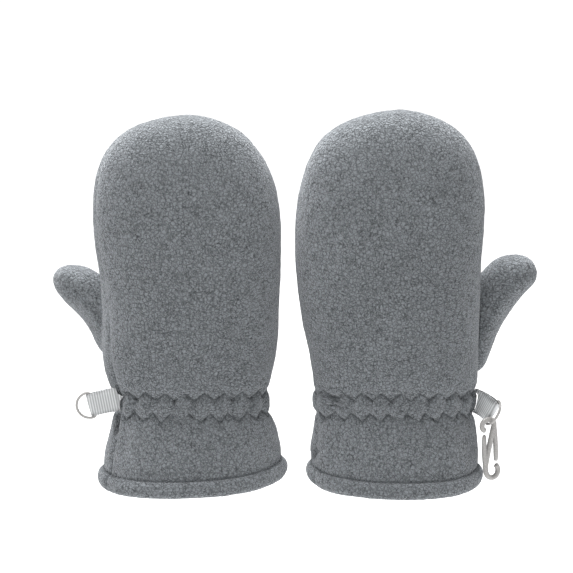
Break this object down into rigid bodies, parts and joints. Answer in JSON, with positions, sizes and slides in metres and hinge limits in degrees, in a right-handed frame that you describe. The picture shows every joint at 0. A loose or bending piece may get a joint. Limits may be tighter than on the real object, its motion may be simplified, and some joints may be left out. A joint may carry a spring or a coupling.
{
  "type": "pair of mittens",
  "caption": "Toddler's fleece mittens, filled out and open at the cuff, with gathered elastic wrists, turned hems, webbing tabs, D-rings and a plastic clip.",
  "frame": {"origin": "midway between the two wrists, at the height of the middle of the wrist elastic, where the wearer's hands hold the pair", "axes": "+Z from the cuffs to the fingertips, +X from the right-hand mitten to the left-hand mitten, backs of the hands facing -Y"},
  "size_m": [0.2034, 0.05, 0.1594],
  "materials": {
    "fleece": "short pile fleece, matt, blue-grey",
    "webbing": "ribbed narrow webbing, pale grey",
    "clear_plastic": "milky, slightly see-through plastic"
  },
  "bodies": {
    "mittens": {"right_back_panel": "fleece", "right_palm_panel": "fleece", "right_thumb_upper": "fleece", "right_thumb_lower": "fleece", "right_tab": "webbing", "left_back_panel": "fleece", "left_palm_panel": "fleece", "left_thumb_upper": "fleece", "left_thumb_lower": "fleece", "left_tab": "webbing"},
    "right_ring_body": {"right_ring": "clear_plastic"},
    "left_ring_body": {"left_ring": "clear_plastic"},
    "clip_body": {"clip": "clear_plastic"}
  },
  "joints": [
    {"name": "right_ring_swing", "type": "hinge", "parent": "mittens", "child": "right_ring_body", "pos_m": [-0.0826, -0.0099, 0.0015], "axis": [-0.2745, -0.0045, 0.9616], "range_deg": [-120, 120]},
    {"name": "left_ring_swing", "type": "hinge", "parent": "mittens", "child": "left_ring_body", "pos_m": [0.0832, -0.008, -0.0016], "axis": [0.5198, -0.1191, 0.846], "range_deg": [-40, 45]},
    {"name": "clip_swing", "type": "hinge", "parent": "left_ring_body", "child": "clip_body", "pos_m": [0.0819, -0.01162, -0.00649], "axis": [0.48, -0.8362, 0.2654], "range_deg": [-8, 65]}
  ]
}
